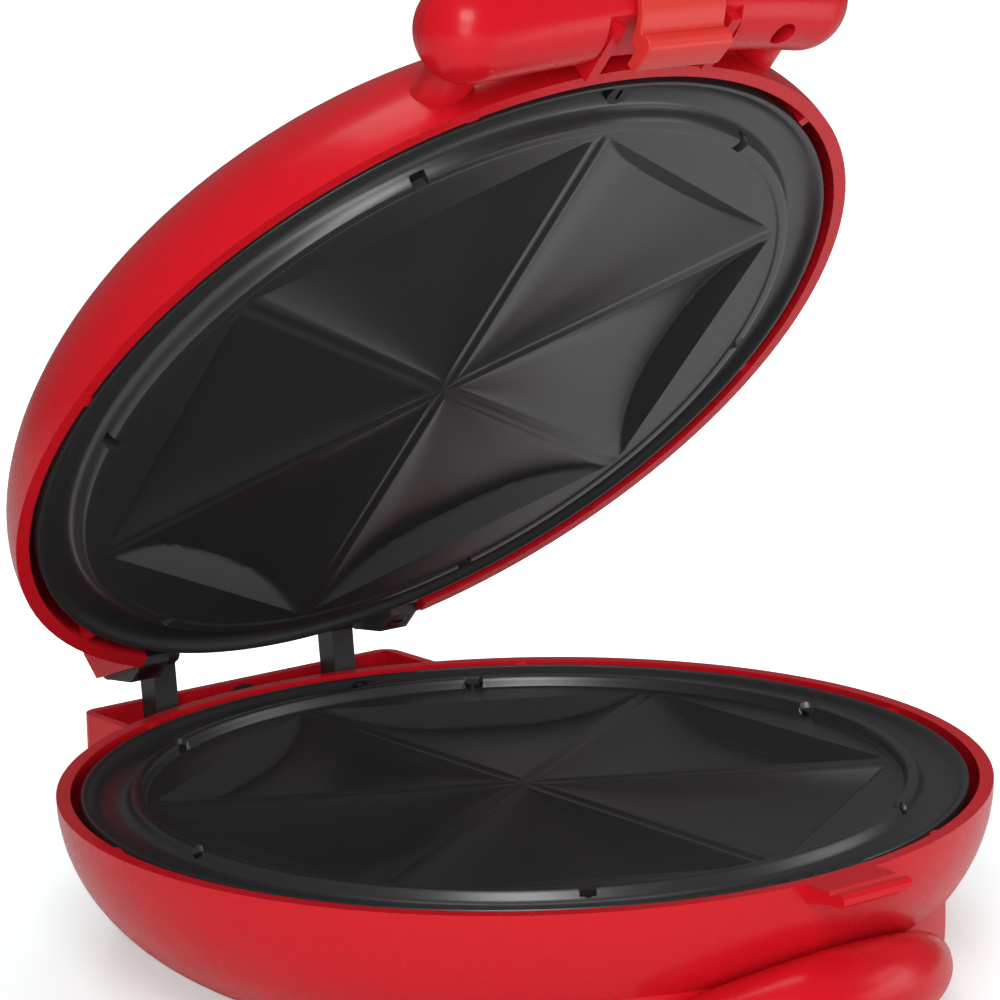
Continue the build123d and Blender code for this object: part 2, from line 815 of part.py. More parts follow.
def terminal_block():
    """Three-way screw block on the bottom cover."""
    way = block_length / 3
    body = block(half(block_length), half(block_width), (0, block_height))
    well = rod_z(way / 4, block_height / 2, 2 * block_height)
    for i in (-1, 0, 1):
        body = body - Pos(i * way, 0, 0) * well
    return Pos(0, block_y, sole_inner) * body


def thermal_fuse():
    """Fuse can lying against the underside of the lower reflector."""
    z = rim_height - reflector_drop - reflector_sheet - fuse_radius
    return rod_x(fuse_radius, fuse_x - fuse_length / 2, fuse_x + fuse_length / 2, fuse_y, z)


def base_wiring():
    """Supply pair from the gland to the block, and wires on to the heater and fuse."""
    gland_z = gland_height()
    slip = reflector_radius + 1.5 * wire_radius
    top = sole_inner + block_height / 2
    wires = []
    for side in (-1, 1):
        x = side * wire_pair
        route = [
            (x, housing_back - 3 * shell_wall, gland_z),
            (x, slip + 2 * wire_radius, gland_z - wire_radius),
            (x, slip, rim_height - reflector_drop - wire_drop),
            (x, slip - wire_slant, top + wire_rise),
            (x, block_y + block_width / 2 + wire_lead, top),
            (x, block_y + block_width / 2, top),
        ]
        wires.append(wire(route, wire_bend))
    for angle, x in zip(heater_ends(), (wire_pair, block_length / 3)):
        end_x = heater_radius * cos(radians(angle))
        end_y = heater_radius * sin(radians(angle))
        pin_low = rim_height - heater_drop - heater_pin_length
        route = [
            (x + wire_pair, block_y, sole_inner + block_height),
            (x + wire_pair, block_y, sole_inner + block_height + wire_drop),
            (end_x, end_y, pin_low - wire_rise),
            (end_x, end_y, pin_low),
        ]
        wires.append(wire(route, wire_nip))
    return group(wires)


# ---- hinge ---------------------------------------------------------------------------

def eye_slab(foot_points, x_middle, width):
    """Flat hinge piece: a foot outline joined to a round eye at the hinge axis."""
    x_from = x_middle - width / 2
    x_to = x_middle + width / 2
    body = side_slab(foot_points, x_from, x_to)
    return body + rod_x(eye_radius, x_from, x_to, hinge_y, hinge_z)


def hinge_post():
    """Base post: stands in the housing and carries the pin, which turns in it."""
    floor = rim_height - housing_depth + shell_wall
    neck = hinge_z - eye_radius * 0.6
    points = [
        (hinge_y - post_front, floor),
        (hinge_y + post_heel, floor),
        (hinge_y + post_heel, floor + post_foot_height),
        (hinge_y + eye_radius * 0.8, neck),
        (hinge_y - eye_radius * 0.8, neck),
        (hinge_y - post_front, floor + post_foot_height),
    ]
    post = eye_slab(points, post_middle_x, post_width)
    bore = rod_x(pin_radius + pin_clearance, 0, hood_half, hinge_y, hinge_z)
    return post - bore - post_screw_hole(screw_radius)


def post_screw_hole(radius):
    bottom = rim_height - housing_depth
    top = bottom + shell_wall + post_screw_bite
    return rod_z(radius, bottom - 1, top, post_middle_x, hinge_y - post_screw_setback)


def post_screw_holes():
    return both_sides(post_screw_hole(screw_radius))


def hinge_post_screws():
    """Screws up through the floor of the housing into the posts."""
    bottom = rim_height - housing_depth
    one = Rot(180, 0, 0) * screw(shell_wall + post_screw_bite)
    one = Pos(post_middle_x, hinge_y - post_screw_setback, bottom) * one
    return group(both_sides(one))


def hinge_lug():
    """Lid lug: a foot under the lid's back edge and an eye that holds the pin."""
    front = hood_mouth_y + lug_front_gap
    top = rim_height + lug_top_rise
    neck = hinge_z - eye_radius * 0.6
    points = [
        (front, top),
        (front, lug_low + lug_bevel),
        (front + lug_bevel, lug_low),
        (hinge_y - lug_heel_setback, lug_low),
        (hinge_y + eye_radius * 0.8, neck),
        (hinge_y - eye_radius * 0.8, neck),
        (hinge_y - eye_radius * 0.8, top),
    ]
    lug = eye_slab(points, lug_middle_x, lug_width)
    lug = lug - rod_x(pin_radius, 0, hood_half, hinge_y, hinge_z)
    sink = rod_z(
        screw_head_radius + seat_clearance, lug_low - 1, lug_low + screw_head_height,
        lug_middle_x, lug_screw_y,
    )
    return lug - sink - lug_screw_hole()


def lug_screw_hole():
    seat = lug_low + screw_head_height
    return rod_z(screw_radius, lug_low, seat + lug_screw_length, lug_middle_x, lug_screw_y)


def hinge_lug_screws():
    """Screws up through the lugs into bosses in the lid's hinge hood."""
    one = Rot(180, 0, 0) * screw(lug_screw_length)
    one = Pos(lug_middle_x, lug_screw_y, lug_low + screw_head_height) * one
    return group(both_sides(one))


def hinge_pin():
    """Pin pressed into a lug and turning in a post, with a head at its inner end."""
    inner = post_middle_x - post_width / 2 - 0.4
    outer = lug_middle_x + lug_width / 2
    shank = rod_x(pin_radius, inner, outer, hinge_y, hinge_z)
    head = rod_x(pin_head_radius, inner - pin_head_length, inner, hinge_y, hinge_z)
    return shank + head


# ---- lid shell -----------------------------------------------------------------------

def hood_roof(y):
    """Height of the hood's sloping roof in front of its crest."""
    return lid_rim + hood_crest_rise + hood_slope * (hood_crest_y - y)


def hood_outline():
    """Side view of the hinge hood: sloping underside, upright back, falling roof."""
    front = hood_mouth_y - hood_front_depth
    return [
        (front, lid_rim + hood_lip_rise),
        (hood_mouth_y + hood_sheet, lid_rim),
        (hood_back, lid_rim + hood_under_rise),
        (hood_back, lid_rim + hood_back_rise),
        (hood_back - hood_edge_width, lid_rim + hood_edge_rise),
        (hood_crest_y, hood_roof(hood_crest_y)),
        (front, hood_roof(front)),
    ]


def hood_cavity():
    """Room under the hood for the posts, lugs and wires; it cuts the rim away."""
    reach = hood_half - hood_sheet
    back = hood_back - hood_sheet
    over_eye = hinge_z + eye_radius + eye_room
    crest = hood_crest_y - hood_sheet / 2
    points = [
        (hood_mouth_y, lid_rim - 1),
        (hood_back + 1, lid_rim - 1),
        (hood_back + 1, over_eye),
        (back, over_eye),
        (back - hood_sheet / 2, lid_rim + hood_edge_rise - hood_sheet),
        (crest, hood_roof(hood_crest_y) - hood_sheet),
        (hood_mouth_y, hood_roof(hood_mouth_y) - hood_sheet),
    ]
    return side_slab(points, -reach, reach)


def lug_boss():
    """Boss from the hood's roof down to a lug."""
    low = rim_height + lug_top_rise + seat_clearance
    return rod_z(boss_radius, low, hood_roof(hood_crest_y), lug_middle_x, lug_screw_y)


def wire_gap():
    """Slot through the dome's wall under the hood, for the wires from the hinge."""
    return block(
        (wire_gap_x - wire_gap_half, wire_gap_x + wire_gap_half),
        (hood_mouth_y - hood_front_depth, hood_mouth_y + 1),
        (lid_rim + wire_gap_low, lid_rim + wire_gap_high),
    )


def lid_shell():
    outside = dome_outside() + side_slab(hood_outline(), -hood_half, hood_half)
    room = dome_solid(inner_radius, dome_height - shell_wall)
    room = room - [Rot(0, 0, angle) * rib(lid_rim, 1) for angle in rib_angles(-1)]
    room = room - plate_boss(lid_rim, 1, upper_plate_screw_angle)
    body = outside - room - hood_cavity() - wire_gap()
    body = body + [boss & outside for boss in both_sides(lug_boss())]
    body = body - plate_screw_hole(lid_rim, 1, upper_plate_screw_angle)
    body = body - both_sides(lug_screw_hole())
    lens_hole = rod_z(lens_radius, -2 * lens_depth, 2 * lens_depth)
    body = body - [lens_frame(side).location * lens_hole for side in (-1, 1)]
    return body - [stub_screw_hole(side) for side in (-1, 1)]


# ---- indicator lights ----------------------------------------------------------------

def lens_frame(side):
    """Plane on the dome at a lens, with its normal square to the dome."""
    x = side * lens_x
    reach = sqrt(x**2 + lens_y**2)
    z = dome_height * sqrt(1 - (reach / body_radius) ** 2)
    normal = (x / body_radius**2, lens_y / body_radius**2, z / dome_height**2)
    return Plane(origin=(x, lens_y, lid_rim + z), z_dir=normal)


def indicator_lens(side):
    """Round light pipe through the dome."""
    lens = rod_z(lens_radius, -lens_depth, lens_proud)
    lens = fillet(lens.edges().group_by(Axis.Z)[-1], lens_proud / 2)
    return lens_frame(side).location * lens


def indicator_lamps():
    """Two neon lamps behind the lenses, on a small card."""
    lamps = []
    for side in (-1, 1):
        low = -lens_depth - 0.5 - lamp_length
        lamps.append(lens_frame(side).location * rod_z(lamp_radius, low, -lens_depth - 0.5))
    middle = lens_frame(1)
    card_z = -lens_depth - 0.5 - lamp_length
    card = Plane(origin=(0, lens_y, middle.origin.Z), z_dir=(0, middle.z_dir.Y, middle.z_dir.Z))
    length, width, sheet = lamp_card
    board = card.location * Pos(0, 0, card_z) * Box(length, width, sheet)
    return board + lamps


# ---- lid handle ----------------------------------------------------------------------

def bar_bend():
    """Radius of the handle bar's plan arc, from its middle and its ends."""
    rise = bar_end_y - bar_y
    return (bar_end_x**2 + rise**2) / (2 * rise)


def bar_solid(radius):
    """Round bar on a plan arc with spherical ends."""
    bend = bar_bend()
    reach = degrees(asin(bar_end_x / bend))
    ring = Torus(bend, radius, major_angle=2 * reach, align=None)
    ring = Pos(0, bar_y + bend, bar_z) * (Rot(0, 0, -90 - reach) * ring)
    ends = both_sides(Pos(bar_end_x, bar_end_y, bar_z) * Sphere(radius))
    return ring + ends


def parting_half(upper):
    """Everything on one side of the tilted plane on which the two halves meet."""
    length = sqrt(1 + parting_slope**2)
    normal = Vector(0, parting_slope / length, 1 / length)
    plane = Plane(
        origin=(0, bar_y + parting_setback, rim_height + parting_rise),
        x_dir=(1, 0, 0), z_dir=normal,
    )
    size = 4 * bar_end_x
    shift = size / 2 if upper else -size / 2
    return plane.location * Pos(0, 0, shift) * Box(size, size, size)


def cheek_sector(low, high, radius, x_from, x_to):
    """Pie-shaped slab about the bar's middle line; angles rise from the front."""
    points = [(bar_y, bar_z)]
    steps = 6
    for i in range(steps + 1):
        angle = radians(low + (high - low) * i / steps)
        points.append((bar_y - radius * cos(angle), bar_z + radius * sin(angle)))
    return side_slab(points, x_from, x_to)


def seat_half():
    """Half length of the latch's seat on the bar."""
    return latch_half + latch_side_gap


def handle_hollow():
    """Inside of the bar, with cross walls left beside the latch and at the screw."""
    room = bar_solid(bar_radius - bar_wall)
    wall = seat_half() + bar_wall
    room = room - block((-wall, wall), (-2 * body_radius, 0), (0, 2 * bar_z))
    inner_half = seat_half() - cheek_width - 2 * slot_clearance - latch_clearance
    inner = rod_x(latch_seat_radius - bar_wall, -inner_half, inner_half, bar_y, bar_z)
    post = rod_z(handle_post_radius, 0, 2 * bar_z, handle_screw_x, handle_screw_y())
    return room - post + inner


def handle_screw_y():
    bend = bar_bend()
    return bar_y + bend - sqrt(bend**2 - handle_screw_x**2)


def handle_cuts():
    """What both halves lose: the latch's seat and slots, the flat, the dome's room."""
    keep = seat_half()
    band = rod_x(2 * bar_radius, -keep, keep, bar_y, bar_z)
    seat = band - rod_x(latch_seat_radius, -keep, keep, bar_y, bar_z)
    flat = block(
        half(2 * bar_flat_half), (-2 * body_radius, 0), (0, rim_height + bar_flat)
    )
    dome = dome_solid(body_radius + dome_clearance, dome_height + dome_clearance)
    dome = dome + rod_z(body_radius + dome_clearance, 0, lid_rim)
    slots = []
    low = cheek_low_angle - slot_overtravel
    high = cheek_high_angle + latch_travel + slot_overtravel
    hub = 2 * latch_pin_radius + 2 * slot_clearance
    for x_low in (latch_half - cheek_width, -latch_half):
        x_from = x_low - slot_clearance
        x_to = x_low + cheek_width + slot_clearance
        slots.append(cheek_sector(low, high, 1.2 * bar_radius, x_from, x_to))
        slots.append(rod_x(hub, x_from, x_to, bar_y, bar_z))
    return [seat, flat, dome] + slots


def handle_half(upper):
    body = bar_solid(bar_radius) - handle_cuts() - handle_hollow()
    body = body & parting_half(upper)
    body = body - rod_x(latch_pin_radius, -bar_end_x / 2, bar_end_x / 2, bar_y, bar_z)
    return body - handle_screw_hole()


def stub(side):
    """Round foot that carries the bar off the dome."""
    rod = rod_z(stub_radius, body_radius / 2, -bar_end_y)
    height = rim_height + stub_rise
    return Pos(side * stub_middle_x, 0, height) * (Rot(90, 0, 0) * rod)


def stubs():
    return [stub(side) - dome_outside() for side in (-1, 1)]


def lid_handle_upper():
    """Top and back half of the bar, with its two feet on the dome."""
    body = handle_half(True) + [foot - bar_solid(bar_radius - bar_wall) for foot in stubs()]
    body = body - [stub_screw_hole(side) for side in (-1, 1)]
    return body - handle_screw_hole()


def lid_handle_lower():
    """Front and lower half of the bar, with two small fins beside the catch."""
    half_bar = handle_half(False) - [stub(side) for side in (-1, 1)]
    top = rim_height + bar_flat + bar_wall
    fin = block(
        (fin_middle_x - fin_thickness / 2, fin_middle_x + fin_thickness / 2),
        (bar_y - fin_reach, -body_radius - dome_clearance),
        (rim_height - rim_gap, top),
    )
    return half_bar + both_sides(fin)


def handle_screw_seat():
    return bar_z - bar_radius + handle_screw_sink


def handle_screw_hole():
    """Way for a screw from below, with a wide mouth for its sunk head."""
    seat = handle_screw_seat()
    hole = rod_z(screw_radius, seat, bar_z + bar_radius - bar_wall)
    mouth = rod_z(handle_mouth_radius, 0, seat)
    return Pos(handle_screw_x, handle_screw_y(), 0) * (hole + mouth)


def handle_half_screw():
    """Screw that closes the handle from below."""
    one = Rot(180, 0, 0) * screw(2 * bar_radius - bar_wall - handle_screw_sink)
    return Pos(handle_screw_x, handle_screw_y(), handle_screw_seat()) * one


def stub_screw_frame(side):
    """Line from inside the dome out into a handle foot."""
    height = dome_height - shell_wall
    inside = inner_radius * sqrt(1 - ((stub_rise - rim_gap) / height) ** 2)
    x = side * stub_middle_x
    y = -sqrt(inside**2 - x**2)
    return Plane(origin=(x, y, rim_height + stub_rise), z_dir=(0, -1, 0))


def stub_screw_hole(side):
    hole = rod_z(screw_radius, -2 * stub_screw_sink, grip_screw_length)
    seat = rod_z(
        screw_head_radius + seat_clearance, -4 * screw_head_height, -stub_screw_sink
    )
    return stub_screw_frame(side).location * (hole + seat)


def lid_handle_screws():
    """Screws from inside the dome into the handle's feet."""
    one = Rot(180, 0, 0) * screw(grip_screw_length + stub_screw_sink)
    one = Pos(0, 0, -stub_screw_sink) * one
    return group([stub_screw_frame(side).location * one for side in (-1, 1)])


# ---- latch ---------------------------------------------------------------------------

def latch_point(radius, angle):
    """Point about the bar's middle line; the angle rises from the front."""
    turn = radians(angle)
    return (bar_y - radius * cos(turn), bar_z + radius * sin(turn))


def latch():
    """Band over the bar, a hanging tab with a hook, and two cheeks on the pin."""
    middle = (latch_back_angle + latch_front_angle) / 2
    angles = (latch_back_angle, middle, latch_front_angle)
    outer = ThreePointArc(*[latch_point(latch_outer, angle) for angle in angles])
    roll_y = tab_y - tab_roll
    roll_z = rim_height - hook_bottom_drop + tab_roll
    join = radians(tab_join_angle)
    join_y = roll_y - tab_roll * cos(join)
    front = Polyline(
        outer @ 1,
        (join_y, roll_z + tab_roll * sin(join)),
        (join_y, roll_z),
        (tab_y, roll_z),
        (bar_y, bar_z),
        outer @ 0,
    )
    sector = make_face(Plane.YZ * (Curve() + [outer, front]))
    roll = Plane.YZ * (Pos(roll_y, roll_z) * Circle(tab_roll))
    hook = make_face(Plane.YZ * Polyline(
        (roll_y, rim_height - hook_bottom_drop),
        (hook_tip_y, rim_height - hook_bottom_drop),
        (hook_tip_y, rim_height - hook_top_drop),
        (roll_y, rim_height - hook_top_drop),
        close=True,
    ))
    band = extrude(sector + roll + hook, latch_half, dir=(1, 0, 0), both=True)
    band = band - rod_x(latch_inner, -latch_half, latch_half, bar_y, bar_z)
    cheeks = []
    for x_from in (latch_half - cheek_width, -latch_half):
        x_to = x_from + cheek_width
        cheek = cheek_sector(
            cheek_low_angle, cheek_high_angle, latch_inner + latch_sheet / 2, x_from, x_to
        )
        cheeks.append(cheek + rod_x(2 * latch_pin_radius, x_from, x_to, bar_y, bar_z))
    bore = rod_x(latch_pin_radius + pin_clearance, -latch_half, latch_half, bar_y, bar_z)
    return band + cheeks - bore


def latch_pin():
    """Pin across the handle's middle that the latch turns on."""
    reach = latch_half + latch_clearance + bar_wall
    return rod_x(latch_pin_radius, -reach, reach, bar_y, bar_z)


# ---- wires in the lid ----------------------------------------------------------------

def lid_wiring():
    """Pair from the hinge over the reflector to the heater, and on to the lamps."""
    over = lid_rim + reflector_drop + reflector_sheet + nut_height + wire_radius
    wires = []
    for side in (-1, 1):
        x = side * wire_pair + wire_gap_x
        route = [
            (x, hinge_y - wire_radius, hinge_z),
            (x, hood_mouth_y + wire_rise, lid_rim + (wire_gap_low + wire_gap_high) / 2),
            (x, hood_mouth_y - wire_slant, over + wire_rise),
            (x, heater_radius / 2, over + wire_drop + wire_rise),
            (x, lens_y / 2, over + wire_drop + wire_rise),
        ]
        wires.append(wire(route, wire_bend))
    return group(wires)


# ---- write every sub-part ------------------------------------------------------------

save("base_shell", base_shell())
save("bottom_cover", bottom_cover())
save("bottom_cover_screws", bottom_cover_screws())
foot_names = ("foot_front_right", "foot_front_left", "foot_rear_right", "foot_rear_left")
for foot_name, spot in zip(foot_names, foot_spots()):
    save(foot_name, Pos(*spot) * foot())
save("base_handle", base_handle())
save("base_handle_screws", base_handle_screws())
save("lower_plate", lower_plate())
save("lower_plate_screw", in_base(plate_screw(lower_plate_screw_angle)))
save("lower_reflector_posts", in_base(reflector_posts()))
save("lower_heater", in_base(heater()))
save("lower_heater_clamps", in_base(heater_clamps()))
save("lower_reflector", in_base(reflector()))
save("lower_thermostat", in_base(thermostat()))
save("cord_gland", cord_gland())
save("terminal_block", terminal_block())
save("thermal_fuse", thermal_fuse())
save("base_wiring", base_wiring())
save("hinge_post_right", hinge_post())
save("hinge_post_left", mirror(hinge_post(), about=Plane.YZ))
save("hinge_post_screws", hinge_post_screws())
save("hinge_pin_right", opened(hinge_pin()))
save("hinge_pin_left", opened(mirror(hinge_pin(), about=Plane.YZ)))
save("hinge_lug_right", opened(hinge_lug()))
save("hinge_lug_left", opened(mirror(hinge_lug(), about=Plane.YZ)))
save("hinge_lug_screws", opened(hinge_lug_screws()))
save("lid_shell", opened(lid_shell()))
save("power_lens", opened(indicator_lens(-1)))
save("ready_lens", opened(indicator_lens(1)))
save("indicator_lamps", opened(indicator_lamps()))
save("lid_handle_upper", opened(lid_handle_upper()))
save("lid_handle_lower", opened(lid_handle_lower()))
save("handle_half_screw", opened(handle_half_screw()))
save("lid_handle_screws", opened(lid_handle_screws()))
save("latch", opened(latch()))
save("latch_pin", opened(latch_pin()))
save("upper_plate", opened(upper_plate()))
save("upper_plate_screw", opened(under_lid(plate_screw(upper_plate_screw_angle))))
save("upper_reflector_posts", opened(under_lid(reflector_posts())))
save("upper_heater", opened(under_lid(heater())))
save("upper_heater_clamps", opened(under_lid(heater_clamps())))
save("upper_reflector", opened(under_lid(reflector())))
save("upper_thermostat", opened(under_lid(thermostat())))
save("lid_wiring", opened(lid_wiring()))
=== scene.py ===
import math

import bpy
import numpy as np
from mathutils import Matrix, Vector


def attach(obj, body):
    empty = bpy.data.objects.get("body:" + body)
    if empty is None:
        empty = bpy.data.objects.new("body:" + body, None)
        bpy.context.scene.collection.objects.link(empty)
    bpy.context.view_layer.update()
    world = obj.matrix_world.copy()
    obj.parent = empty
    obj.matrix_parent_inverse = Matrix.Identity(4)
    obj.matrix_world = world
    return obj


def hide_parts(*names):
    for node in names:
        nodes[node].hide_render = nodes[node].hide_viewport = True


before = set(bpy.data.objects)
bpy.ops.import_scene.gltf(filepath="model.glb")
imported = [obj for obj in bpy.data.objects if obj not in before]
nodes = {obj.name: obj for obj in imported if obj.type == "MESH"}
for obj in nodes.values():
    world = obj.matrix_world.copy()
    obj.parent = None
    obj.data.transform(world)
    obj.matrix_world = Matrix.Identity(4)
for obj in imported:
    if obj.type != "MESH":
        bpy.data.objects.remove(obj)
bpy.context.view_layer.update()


def linear(code):
    """Linear RGBA of a hex sRGB colour."""
    values = [int(code[i:i + 2], 16) / 255 for i in (1, 3, 5)]
    curve = [v / 12.92 if v <= 0.04045 else ((v + 0.055) / 1.055) ** 2.4 for v in values]
    return (*curve, 1.0)


def add(tree, kind, inputs=None, **settings):
    """Add one shader node, set its properties and the plain values of its inputs."""
    made = tree.nodes.new(kind)
    for name, value in settings.items():
        setattr(made, name, value)
    for name, value in (inputs or {}).items():
        made.inputs[name].default_value = value
    return made


# ---- Red shells and handles -----------------------------------------------------------
# Both shells, the lid's bar handle and the crescent grip under the base are moulded in
# the same glossy red plastic, with a faint ripple from the mould.
def surface_material(name, **values):
    """A material with its Principled shader's constants set; returns it with its tree."""
    made = bpy.data.materials.new(name)
    made.use_nodes = True
    shader = made.node_tree.nodes["Principled BSDF"]
    for key, value in values.items():
        shader.inputs[key.replace("_", " ")].default_value = value
    return made, made.node_tree, shader


def mottle(tree, shader, low, high, scale, depth, distance):
    """Fine grain in real millimetres: roughness between two values and a slight bump."""
    place = add(tree, "ShaderNodeTexCoord")
    grain = add(tree, "ShaderNodeTexNoise", {"Scale": 1000 / scale, "Detail": 3.0})
    spread = add(tree, "ShaderNodeMapRange", {"To Min": low, "To Max": high})
    bump = add(tree, "ShaderNodeBump", {"Strength": depth, "Distance": distance / 1000})
    tree.links.new(place.outputs["Object"], grain.inputs["Vector"])
    tree.links.new(grain.outputs["Fac"], spread.inputs["Value"])
    tree.links.new(spread.outputs["Result"], shader.inputs["Roughness"])
    tree.links.new(grain.outputs["Fac"], bump.inputs["Height"])
    tree.links.new(bump.outputs["Normal"], shader.inputs["Normal"])


def paint(material, *names):
    """Give CAD nodes a material."""
    for name in names:
        nodes[name].data.materials.clear()
        nodes[name].data.materials.append(material)


red_gloss, red_tree, red_shader = surface_material(
    "Glossy red moulded ABS",
    Base_Color=linear("#D01522"), Specular_IOR_Level=0.22, Coat_Weight=0.04,
)
mottle(red_tree, red_shader, 0.24, 0.30, 9.0, 0.03, 0.10)
paint(red_gloss, "base_shell", "base_handle", "lid_shell", "lid_handle_upper",
      "lid_handle_lower")

# ---- Latch ----------------------------------------------------------------------------
# A clip in a lighter, more orange red that swings on a pin through the middle of the bar:
# a band round the bar, rolled outward at its lower end, with a hook that turns inward.
def piece(name, points, faces, material, body):
    """New mesh object from arrays, riding on a body; edges over 30 degrees stay sharp."""
    crease = 30
    mesh = bpy.data.meshes.new(name)
    mesh.from_pydata([tuple(p) for p in points], [], [tuple(f) for f in faces])
    mesh.polygons.foreach_set("use_smooth", [True] * len(mesh.polygons))
    mesh.set_sharp_from_angle(angle=math.radians(crease))
    mesh.materials.append(material)
    made = bpy.data.objects.new(name, mesh)
    bpy.context.scene.collection.objects.link(made)
    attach(made, body)
    return made


def opened(points):
    """Lid points in mm, drawn with the lid shut, turned back about the hinge's line."""
    turn = math.radians(47)
    hinge_y, hinge_z = 121.8, 59.2
    dy = points[:, 1] - hinge_y
    dz = points[:, 2] - hinge_z
    return np.stack([
        points[:, 0],
        hinge_y + dy * math.cos(turn) + dz * math.sin(turn),
        hinge_z - dy * math.sin(turn) + dz * math.cos(turn),
    ], 1)


def prism(outline, x_from, x_to, first):
    """Solid between x_from and x_to of a closed (y, z) outline; faces count from first."""
    count = len(outline)
    points = np.concatenate([
        np.column_stack([np.full(count, x), outline]) for x in (x_from, x_to)
    ])
    ring = np.arange(count)
    after = np.roll(ring, -1)
    faces = [tuple(first + i for i in (a, b, b + count, a + count)) for a, b in zip(ring, after)]
    faces.append(tuple(first + ring[::-1]))
    faces.append(tuple(first + count + ring))
    return points, faces


def arc(centre, radius, start, end, steps):
    """Points (y, z) round a centre; angles in degrees rise from the front (-Y) upward."""
    turns = np.radians(np.linspace(start, end, steps))
    return np.column_stack([centre[0] - radius * np.cos(turns),
                            centre[1] + radius * np.sin(turns)])


def latch_surface():
    """Outline in mm: the band lies between r = 14.5 and r = 12.3 about the bar.

    Arcs join it to the roll (r = 2.6) and to the hook's tip (r = 1.9). Two cheeks, each
    a sector of r = 13 with a round boss of r = 3, hold the band on its pin.
    """
    bar, outer, inner = (-129.5, 57.0), 14.5, 12.3
    roll, roll_radius = (-132.9, 40.9), 2.6
    hook_tip, hook_radius = (-127.6, 40.6), 1.9
    hook_top = [(-125.7, 42.0), (-129.6, 42.2), (-130.2, 42.8)]
    band_back, band_front = 100, -66
    half_width = 12.6
    cheek_width, cheek_radius, boss_radius = 1.8, 13.0, 3.0
    cheek_low, cheek_high = 20, 62
    band = np.concatenate([
        arc(bar, outer, band_back, band_front, 56),
        arc(roll, roll_radius, 48, -78, 16),
        arc(hook_tip, hook_radius, -110, -180, 8),
        hook_top,
        arc(bar, inner, -87, band_back, 60),
    ])
    cheek = np.concatenate([
        arc(bar, cheek_radius, cheek_high, cheek_low, 12),
        arc(bar, boss_radius, cheek_low, cheek_high - 360, 22),
    ])
    points, faces = prism(band, -half_width, half_width, 0)
    for x_from in (-half_width, half_width - cheek_width):
        more, more_faces = prism(cheek, x_from, x_from + cheek_width, len(points))
        points = np.concatenate([points, more])
        faces = faces + more_faces
    return opened(points), faces


latch_red, latch_tree, latch_shader = surface_material(
    "Glossy orange-red plastic", Base_Color=linear("#D83630"), Specular_IOR_Level=0.3,
)
mottle(latch_tree, latch_shader, 0.28, 0.36, 8.0, 0.03, 0.10)
latch_points, latch_faces = latch_surface()
latch = piece("latch_clip", latch_points / 1000, latch_faces, latch_red, "latch")
edge_round = 0.6
rounded = latch.modifiers.new("moulded edges", "BEVEL")
rounded.width = edge_round / 1000
rounded.segments = 3
rounded.angle_limit = math.radians(50)
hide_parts("latch")

# ---- Seam of the lid handle -----------------------------------------------------------
# The bar is closed from two halves that meet on a tilted plane. Their joint shows as a
# fine dark line round each end of the bar, from one side of the latch to the other.
def seam_line(side):
    """Where 0.6 (y + 124.5) + (z - 58.5) = 0 cuts the bar: r = 12.5 mm about an arc.

    The line lies 0.1 mm inside the skin. One run follows the front, one the back, and a
    bow round the bar's ball end joins them.
    """
    slope, plane_y, plane_z = 0.6, -124.5, 58.5
    bar_y, bar_z, bar_end, bar_sag = -129.5, 57.0, 49.5, 4.0
    inside = 12.4
    beside_latch = 13.8
    bow_reach = np.array([9.0, 0, 0])
    bend = (bar_end**2 + bar_sag**2) / (2 * bar_sag)
    normal = np.array([0.0, slope, 1.0]) / math.hypot(slope, 1.0)
    runs = []
    for face in (1, -1):
        run = []
        for x in np.linspace(beside_latch, bar_end, 30):
            lean = math.asin(x / bend)
            y = bar_y + bend * (1 - math.cos(lean))
            tilt = -slope * inside * math.cos(lean)
            gap = slope * (y - plane_y) + (bar_z - plane_z)
            angle = math.atan2(inside, tilt) + face * math.acos(-gap / math.hypot(tilt, inside))
            out = inside * math.cos(angle)
            run.append((x + out * math.sin(lean), y - out * math.cos(lean),
                        bar_z + inside * math.sin(angle)))
        runs.append(np.array(run))
    ball = np.array([bar_end, bar_y + bar_sag, bar_z])
    hub = ball + (normal @ (np.array([0.0, plane_y, plane_z]) - ball)) * normal
    start, end = runs[0][-1] - hub, runs[1][-1] - hub
    mid = start / np.linalg.norm(start) + end / np.linalg.norm(end) + bow_reach
    mid -= (mid @ normal) * normal
    mid *= np.linalg.norm(start) / np.linalg.norm(mid)
    bow = []
    for first, second in ((start, mid), (mid, end)):
        for part in np.linspace(0, 1, 14)[1:]:
            step = first * (1 - part) + second * part
            bow.append(hub + step * np.linalg.norm(start) / np.linalg.norm(step))
    line = np.concatenate([runs[0], bow[:-1], runs[1][::-1]])
    line[:, 0] *= side
    return line


def tube(line, radius, sides):
    """Thin tube of rings square to a line of points, line + r (cos t a + sin t b)."""
    off_plane = [0.0, 0.6, 1.0]
    ahead = np.gradient(line, axis=0)
    ahead /= np.linalg.norm(ahead, axis=1)[:, None]
    across = np.cross(ahead, off_plane)
    across /= np.linalg.norm(across, axis=1)[:, None]
    upward = np.cross(across, ahead)
    turns = np.linspace(0, 2 * math.pi, sides, endpoint=False)
    rings = [line + radius * (math.cos(t) * across + math.sin(t) * upward) for t in turns]
    grid = np.arange(len(line) * sides).reshape(len(line), sides)
    beside = np.roll(grid, -1, 1)
    faces = np.stack([grid[:-1], grid[1:], beside[1:], beside[:-1]], -1).reshape(-1, 4)
    return np.stack(rings, 1).reshape(-1, 3), faces


